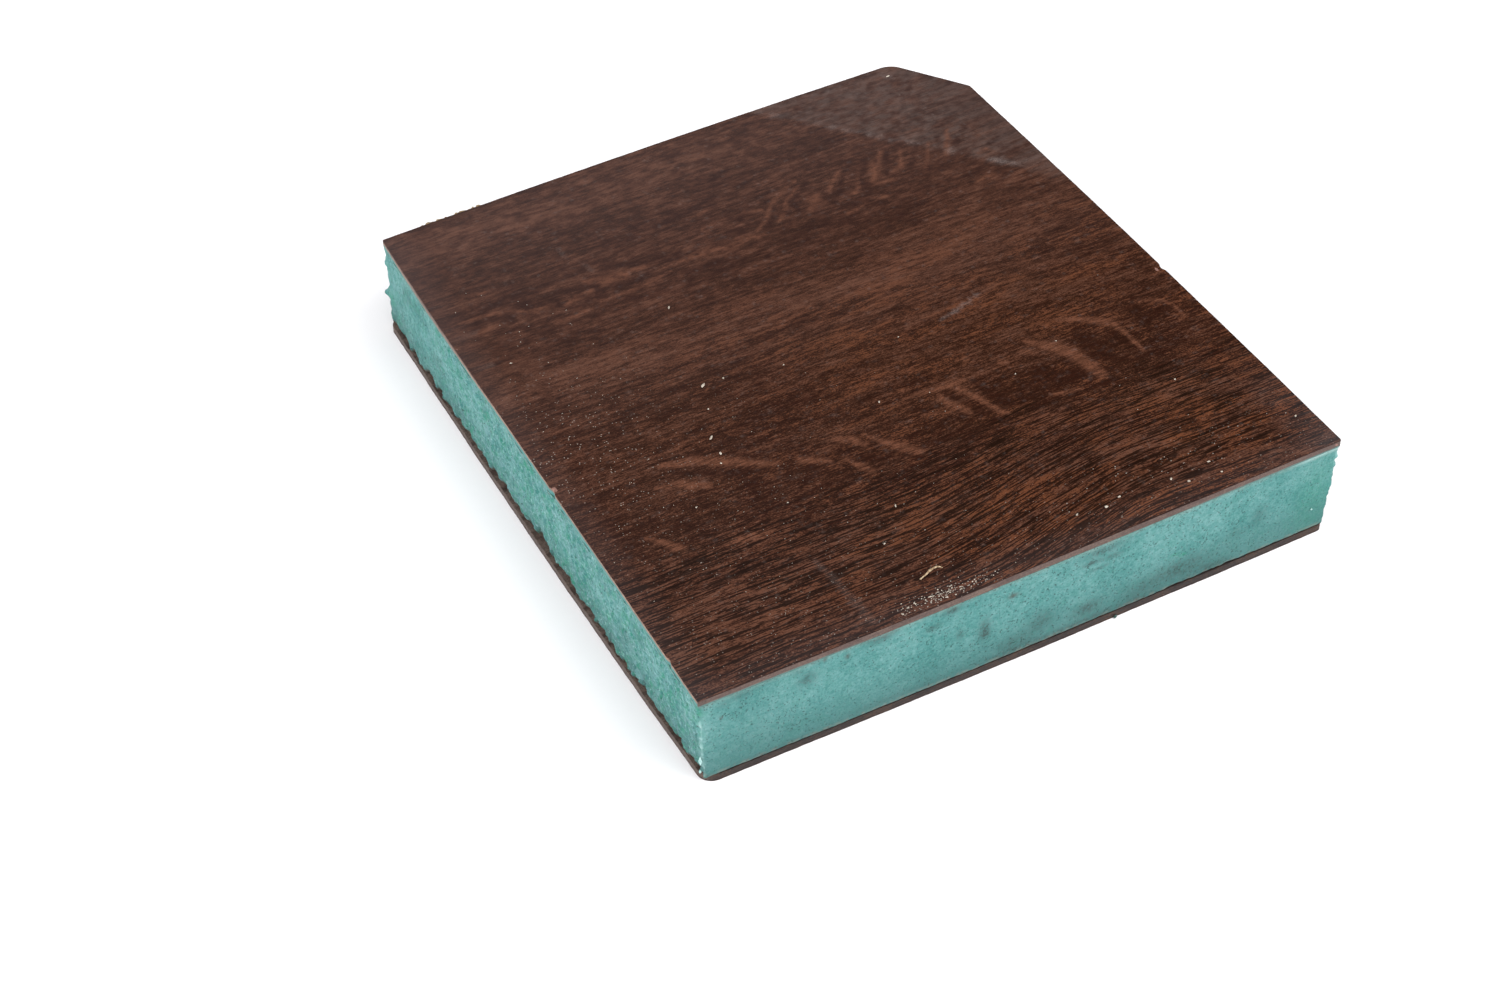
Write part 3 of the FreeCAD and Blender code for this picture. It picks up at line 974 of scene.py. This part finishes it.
def foam_piece():
    """The foam's wall between its two outlines, pushed in and out by cells, tears and teeth, with its
    fields."""
    low, high = levels("foam_core")
    foot, _ = rim_of("foam_core", False, side_counts)
    head, _ = rim_of("foam_core", True, side_counts)
    is_left, is_back, is_front = (on_side(head, name) for name in ("left", "back", "front"))
    place_x, place_y = head.x - fitted_x, head.y - fitted_y
    near_gap = np.minimum(head.run, head.run[-1] - head.run)
    left_gap = np.abs(head.run - head.run[np.argmin(head.x - head.y)])
    right_gap = np.abs(head.run - head.run[side_counts[0]])
    # How coarse the saw left each side, evened out over a few points at the corners
    coarse = np.where(is_left, 1.0 - 0.45 * smooth(25, 50, place_y), np.where(is_back, 0.9, 0.12))
    closed = np.concatenate([coarse[-even_reach:], coarse, coarse[:even_reach]])
    coarse = np.convolve(closed, np.ones(2 * even_reach + 1) / (2 * even_reach + 1), "valid")
    # How deep the foot of the foam stands in from the sheet under it
    saw = round_noise(head, 330, 65, 2)
    recess = 0.85 + 0.42 * smooth(-45, -20, place_y) - 0.32 * smooth(0, 40, place_y)
    depth = is_left * (recess + 1.4 * (saw - 0.38) + 1.6 * (round_noise(head, 700, 69, 2) - 0.5))
    for place, half, extra in SEAM_TEARS:
        depth = depth + is_left * extra * bell(place_y - place, half, 1.6)
    depth = depth + 0.3 * is_back + is_front * (0.3 + 0.4 * (saw - 0.5) + 0.25 * bell(place_x - 42, 13))
    depth = np.clip(depth, 0, 3) * smooth(0.0, 1.6, np.minimum(near_gap, left_gap + 1.0))
    climb = np.where(is_front, front_climb, left_climb)
    rows, fields = [], {}
    for z in np.linspace(low, high, round((high - low) / foam_row_step) + 1):
        up = (z - low) / (high - low)
        bumps = 2 * round_noise(head, 520, 61, 3, z / 1.1) - 1
        swell = 2 * round_noise(head, 110, 67, 2, z / 5) - 1
        pits = np.clip(round_noise(head, 620, 71, 2, z / 0.9) - 0.66, 0, 1)
        foot_share = np.clip(1 - (z - low) / (climb * np.maximum(depth, 0.05)), 0, 1)
        move = coarse * (0.3 * bumps + 0.16 * swell - 1.9 * pits) - depth * foot_share
        for tooth_z, half, out in CORNER_TEETH:
            move = move + out * bell(z - tooth_z, half) * bell(left_gap, 1.3)
        notch = 0.15 + 0.5 * smooth(0.45, 0.75, noise(z / 1.4, 0.5, 77, 3))
        move = move + 0.4 * bumps * bell(right_gap, 0.8) - notch * bell(near_gap, 0.55)
        x, y = foot.x + (head.x - foot.x) * up, foot.y + (head.y - foot.y) * up
        rows.append((x + head.out_x * move, y + head.out_y * move, z))

        dirt = 0.3 * smooth(0.6, 0.8, round_noise(head, 90, 79, 3, z / 6))
        green = 0.55 * coarse * smooth(0.64, 0.8, round_noise(head, 330, 83, 3, z / 1.7))
        green = green + is_front * marks(place_x, z, GREEN_MARKS["front"])
        green = green + is_left * marks(place_y, z, GREEN_MARKS["left"])
        dashes = 0.3 + 0.5 * smooth(0.45, 0.65, noise(z / 0.7, 0.5, 97, 2))
        # Crushed foam, pale, which also stands in as a painted highlight along the near corner's edge, at the
        # right corner and along the front's top at the right
        crush_and_highlight = dashes * smooth(1.6, 2.4, z) * smooth(19, 16, z) * bell(near_gap, 0.3)
        smeared = smooth(22, 19, z) * smooth(9, 14, z) * noise(place_x / 0.8, z / 1.5, 99, 2)
        crush_and_highlight = crush_and_highlight + is_front * (0.25 * smeared * bell(place_x + 69, 1.2))
        crush_and_highlight = crush_and_highlight + 0.7 * bell(right_gap, 0.5) * smooth(14, 21, z)
        crush_and_highlight = crush_and_highlight + is_front * (0.7 * smooth(high - 0.6, high - 0.2, z) * smooth(58, 64, place_x))
        fringe = bell(foot_share - 0.5, 0.3) * smooth(0.35, 0.6, saw)
        stain_and_shade = is_front * marks(place_x, z, STAINS) + 0.7 * bell(left_gap, 1.6) * smooth(3.9, 3.0, z)
        # Painted shade: the foot of the foam, where it stands in from the sheet under it, is darkened in the
        # undercut
        stain_and_shade = stain_and_shade + 0.9 * smooth(0.25, 0.7, foot_share) * (is_left | is_front) - 0.25 * fringe
        seam = smooth(1.3, 0.0, high - z) * (0.6 + 0.8 * (saw - 0.5)) * np.where(is_left, 0.15, 0.2)
        crumbs = smooth(0.4, 0.6, round_noise(head, 900, 89, 2, z / 0.5))
        foot_fringe = 0.18 * smooth(1.3, 0.7, z - low) * crumbs
        row_fields = {
            "green": np.clip(green, 0, 1),
            "grime": np.clip(np.where(is_front, 1.25 * marks(place_x, z, GRIME), dirt), 0, 1),
            "crush_and_highlight": np.clip(crush_and_highlight, 0, 1), "stain_and_shade": np.clip(stain_and_shade, 0, 1),
            # Painted shade towards the foot, stronger on the near half of the left side
            "low": smooth(0.62, 0.0, up) * np.where(is_left, 1.1 + 0.3 * smooth(10, -20, place_y), 1.0),
            "coarse": coarse, "fringe": np.clip(seam + np.where(is_front, 1.0, 0.5) * foot_fringe, 0, 1),
        }
        for key, values in row_fields.items():
            fields.setdefault(key, []).append(values)
    piece, points = layer_piece(
        "foam_block", rows, hidden_step, hidden_step, foam_finish, 5, crease=75
    )
    for key, values in fields.items():
        flat = np.concatenate(values)
        paint(piece, {key: np.append(flat, np.zeros(len(points) - len(flat)))})
    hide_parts("foam_core")


foam_piece()

# Loose bits left by the saw

panel_top = levels("face_decor_foil")[1]


def lumps(name, bits, material, seed):
    """Small rough chips in one mesh: each bit is (x, y, z, half length, half width, half height, turn in
    degrees)."""
    rng = np.random.default_rng(seed)
    ring = 7
    points, faces = [], []
    for x, y, z, length, width, height, turn in bits:
        angles = 2 * math.pi * (np.arange(ring) + rng.uniform(-0.3, 0.3, ring)) / ring
        reach = rng.uniform(0.65, 1.1, ring)
        u, v = length * reach * np.cos(angles), width * reach * np.sin(angles)
        cos, sin = math.cos(math.radians(turn)), math.sin(math.radians(turn))
        level = z + height * rng.uniform(-0.3, 0.3, ring)
        start = len(points)
        points += zip(x + fitted_x + u * cos - v * sin, y + fitted_y + u * sin + v * cos, level)
        points += [(x + fitted_x, y + fitted_y, z - height), (x + fitted_x, y + fitted_y, z + height)]
        for i in range(ring):
            j = (i + 1) % ring
            faces += [(start + i, start + j, start + ring + 1), (start + j, start + i, start + ring)]
    return new_piece(name, points, faces, material)


# White chips on the show face: X, Y, half length, half width and turn
FLECKS = rows_of("""
-30.5 -0.6 0.95 0.4 35, -26 -0.6 0.45 0.3 70, -13.5 -3 0.32 0.22 20, -36.2 -15 0.85 0.3 50,
-36.6 -19.9 0.6 0.35 80, -37.8 -22.4 0.35 0.3 0, -2.2 -22 0.32 0.24 60, -47.6 -31 0.34 0.24 30,
-31.7 -38.3 0.25 0.18 10, -14.1 -49 0.55 0.22 65, -21 -56.8 0.35 0.3 0, -32.8 -7.3 0.35 0.25 40,
11 -6.8 0.24 0.18 0, 8 -24.4 0.22 0.16 50, 38.3 -23.5 0.25 0.18 0, 25.8 -28 0.2 0.16 20,
52.8 -44.8 0.36 0.26 60, 14.8 -67.8 0.45 0.3 20, 20.8 -68.7 0.6 0.45 10, 24.5 -67.6 0.45 0.35 0,
35.9 -68.3 0.45 0.3 30, 38.5 -70.5 0.55 0.4 50, 45 -67.8 0.5 0.35 0, 45.5 -71.3 0.35 0.3 0,
67.3 -65.3 0.4 0.26 40, -25.7 24.3 0.7 0.28 60, -61.5 24.3 0.4 0.2 150, 54.2 72.4 0.6 0.4 0
""")
white_chip = plain_speckled("white_chip", srgb(196, 186, 172), srgb(152, 140, 126), 0.3)
tan_chip = plain_speckled("tan_chip", srgb(176, 152, 112), srgb(140, 116, 84), 0.5)
shaving_tan = plain_speckled("shaving_tan", srgb(186, 164, 134), srgb(140, 112, 84), 0.5)
pink_chip = plain_speckled("pink_chip", srgb(150, 112, 100), srgb(110, 80, 72), 0.5)
grey_dust = plain_speckled("grey_dust", srgb(150, 140, 130), srgb(110, 100, 92), 0.2)
pale_foam = plain_speckled("crushed_foam", srgb(176, 206, 204), srgb(130, 170, 166), 0.4)
dark_foam = plain_speckled("grimy_foam", srgb(66, 90, 84), srgb(40, 58, 54), 0.3)


def scatter(count, centre, spreads, sizes, seed):
    """Grains strewn round a place on the show face, clear of its edges and its rubbed corner."""
    rng = np.random.default_rng(seed)
    x = rng.normal(centre[0], spreads[0], count)
    y = rng.normal(centre[1], spreads[1], count)
    size = rng.uniform(*sizes, count)
    inside = (np.abs(x) < 68) & (y > -74.8) & (y < 50)
    strewn = zip(x[inside], y[inside], size[inside])
    return [(a, b, panel_top + 0.3 * c, c, 0.7 * c, 0.6 * c, 90 * c) for a, b, c in strewn]


# Drifts of dust along the front edge, then the grains over the rest: how many, where, how far they spread
# along X and Y, the smallest and largest, and the seed
WHITE_DRIFTS = [
    (70, (-18, -73.3), (3.4, 0.9), (0.09, 0.26), 211), (16, (-9.5, -73.6), (2.4, 0.7), (0.09, 0.2), 219),
    (12, (-26.5, -73.8), (1.2, 0.6), (0.09, 0.24), 227), (80, (-58, 0), (8, 26), (0.07, 0.13), 229),
    (70, (-30, -48), (24, 18), (0.07, 0.12), 231),
]
GREY_DRIFTS = [
    (60, (-17.5, -73.4), (3.4, 0.8), (0.1, 0.24), 211), (20, (-24, -73.8), (2.2, 0.7), (0.1, 0.2), 213),
    (20, (-9.5, -73.2), (2.4, 0.9), (0.1, 0.2), 215), (70, (-58, 0), (8, 26), (0.09, 0.2), 217),
    (60, (-30, -45), (24, 20), (0.09, 0.18), 219), (50, (35, -66), (20, 5), (0.1, 0.22), 221),
]
# The chips as built: their size over the listed one, how far up their middles lie and half their height
fleck_size = 0.85
fleck_lift = 0.12
fleck_height = 0.2
flecks = [
    (x, y, panel_top + fleck_lift, fleck_size * a, fleck_size * b, fleck_height, turn)
    for x, y, a, b, turn in FLECKS
]
flecks += [grain for drift in WHITE_DRIFTS for grain in scatter(*drift)]
lumps("white_flecks", flecks, white_chip, 201)
dust_grains = [grain for drift in GREY_DRIFTS for grain in scatter(*drift)]
lumps("dust_grains", dust_grains, grey_dust, 203)

# Foam crushed white in the near corner, on the front and at the right corner, a grimy crumb at the foot,
# and pink flakes where the facing is chipped
lumps("foam_crumbs", [
    (-69.75, -74.6, 7.2, 0.35, 0.35, 1.3, 20), (-69.9, -74.5, 4.2, 0.3, 0.3, 0.6, 0),
    (-3.3, -75.1, 15.1, 0.35, 0.2, 0.3, 0), (66.1, -75.5, 7.7, 0.3, 0.2, 0.35, 0),
    (-37.1, -75.1, 20.8, 0.6, 0.15, 0.3, 0), (69.8, -74.9, 21.4, 0.5, 0.4, 0.7, 0),
], pale_foam, 205)
lumps("foot_crumb", [(20.4, -75.7, 0.4, 0.5, 0.4, 0.4, 30)], dark_foam, 209)
lumps("facing_flakes", [
    (-69.2, -13.3, panel_top - 0.02, 0.6, 1.0, 0.3, 0), (68.9, -14.3, panel_top, 0.4, 0.7, 0.3, 0),
    (69.9, -74.9, panel_top - 0.7, 0.7, 0.6, 0.6, 20), (-69.3, 33.6, panel_top - 0.3, 0.4, 0.8, 0.4, 0),
], pink_chip, 207)


def ribbon(name, route, half_thickness, material):
    """A curled strip: a flat tube along a route of (x, y, z, half width)."""
    route = np.array(route, dtype=float)
    along = np.gradient(route[:, :2], axis=0)
    along /= np.hypot(along[:, :1], along[:, 1:])
    across = np.column_stack([-along[:, 1], along[:, 0]])
    points = []
    for (x, y, z, width), (way_x, way_y) in zip(route, across):
        for side, lift in ((-width, 0), (0, half_thickness), (width, 0), (0, -half_thickness)):
            points.append((x + fitted_x + way_x * side, y + fitted_y + way_y * side, z + lift))
    faces = [(0, 1, 2, 3), tuple(len(points) - 4 + i for i in (3, 2, 1, 0))]
    for r in range(0, len(points) - 4, 4):
        faces += [(r + i, r + 4 + i, r + 4 + (i + 1) % 4, r + (i + 1) % 4) for i in range(4)]
    piece = new_piece(name, points, faces, material)
    piece.data.polygons.foreach_set("use_smooth", [True] * len(faces))
    return piece


ribbon("curled_shaving", [
    (-19.9, -68.1, panel_top + 0.05, 0.2), (-19.3, -67.9, panel_top + 0.1, 0.14),
    (-18.3, -67.6, panel_top + 0.2, 0.2), (-17.4, -67.2, panel_top + 0.3, 0.28),
    (-16.5, -67.0, panel_top + 0.35, 0.25), (-15.6, -66.9, panel_top + 0.3, 0.26),
    (-15.0, -67.2, panel_top + 0.2, 0.18), (-14.7, -67.5, panel_top + 0.06, 0.1),
], 0.1, shaving_tan)

# A frayed burr that stands out along the back edge
rng = np.random.default_rng(223)
burr_x = np.arange(-64, -44.5, 0.5)
back_x, back_y = (line[on_side(face_rim, "back")][::-1] for line in (face_rim.x, face_rim.y))
burr_y = np.interp(burr_x, back_x, back_y)
burr_out = 0.5 * smooth(-64, -58, burr_x) * smooth(-44.5, -46, burr_x) * rng.uniform(0.4, 1.3, burr_x.size)
ribbon("back_burr", [
    (x, y - fitted_y, panel_top - 0.5 + 0.4 * out, 0.12 + out) for x, y, out in zip(burr_x, burr_y, burr_out)
], 0.2, tan_chip)

# Camera, ground and light


def place_camera():
    azimuth, elevation = math.radians(camera_azimuth), math.radians(camera_elevation)
    level = math.cos(elevation)
    back = Vector((math.sin(azimuth) * level, -math.cos(azimuth) * level, math.sin(elevation)))
    right = (-back).cross(Vector((0, 0, 1))).normalized()
    up = right.cross(-back)
    axes = Matrix((right, up, back)).transposed() @ Matrix.Rotation(math.radians(camera_roll), 3, "Z")
    camera = put_in_scene("camera", bpy.data.cameras.new("camera"))
    camera.data.sensor_width = sensor_width
    camera.data.lens = focal_px * sensor_width / photo_width
    camera.data.clip_start = 10 * MM
    place = (Vector(camera_target) + back * camera_distance) * MM
    camera.matrix_world = Matrix.Translation(place) @ axes.to_4x4()
    bpy.context.scene.camera = camera


def place_ground():
    s = Shader("white_ground")
    grain = s.noise(s.place, 2, detail=2)
    colour = s.blend(grain, srgb(250, 247, 248), srgb(252, 249, 250))
    finish = s.finish(colour, 0.9, s.bump(grain, 0.002), specular=0.0)
    reach = 3000
    corners = [(-reach, -reach, 0), (reach, -reach, 0), (reach, reach, 0), (-reach, reach, 0)]
    new_mesh("floor", corners, [(0, 1, 2, 3)], finish)


def soft_light(name, place, aim, size, power, colour):
    """A square softbox at a place, turned to its aim."""
    light = bpy.data.lights.new(name, "AREA")
    light.shape = "SQUARE"
    light.size = size * MM
    light.energy = power
    light.color = colour
    way = (Vector(aim) - Vector(place)).to_track_quat("-Z", "Y")
    turned = way.to_matrix().to_4x4()
    put_in_scene(name, light).matrix_world = Matrix.Translation(Vector(place) * MM) @ turned


def light_tent():
    """A white tent all round, which opens on a dimmer room at the back right, where the show face mirrors
    it."""
    world = bpy.data.worlds.new("tent")
    sky = Nodes(world)
    way = sky.node("ShaderNodeTexCoord", out="Generated")
    inputs = {0: way, 1: Vector(opening_way).normalized()}
    facing = sky.node("ShaderNodeVectorMath", inputs, out="Value", operation="DOT_PRODUCT")
    outer, inner = (math.cos(math.radians(angle)) for angle in (opening_outer, opening_inner))
    background = sky.tree.nodes["Background"]
    sky.feed(background.inputs["Color"], tent_colour)
    sky.feed(background.inputs["Strength"], sky.ramp(facing, outer, inner, tent_light, room_light))
    bpy.context.scene.world = world


# The tent's light, its opening's and the way to the opening, with the angles over which it fades
tent_light = 1.85
room_light = 0.3
tent_colour = (0.97, 0.985, 1.0, 1)
opening_way = (0.325, 0.64, 0.695)
opening_inner = 25
opening_outer = 70

place_camera()
place_ground()
light_tent()
soft_light("key", (420, -520, 820), aim=(0, 0, 0), size=600, power=4, colour=(1.0, 0.985, 0.96))
soft_light("fill", (-640, 60, 230), aim=(0, 0, 10), size=420, power=1.0, colour=(1.0, 0.985, 0.97))
bpy.context.scene.view_settings.view_transform = "Standard"
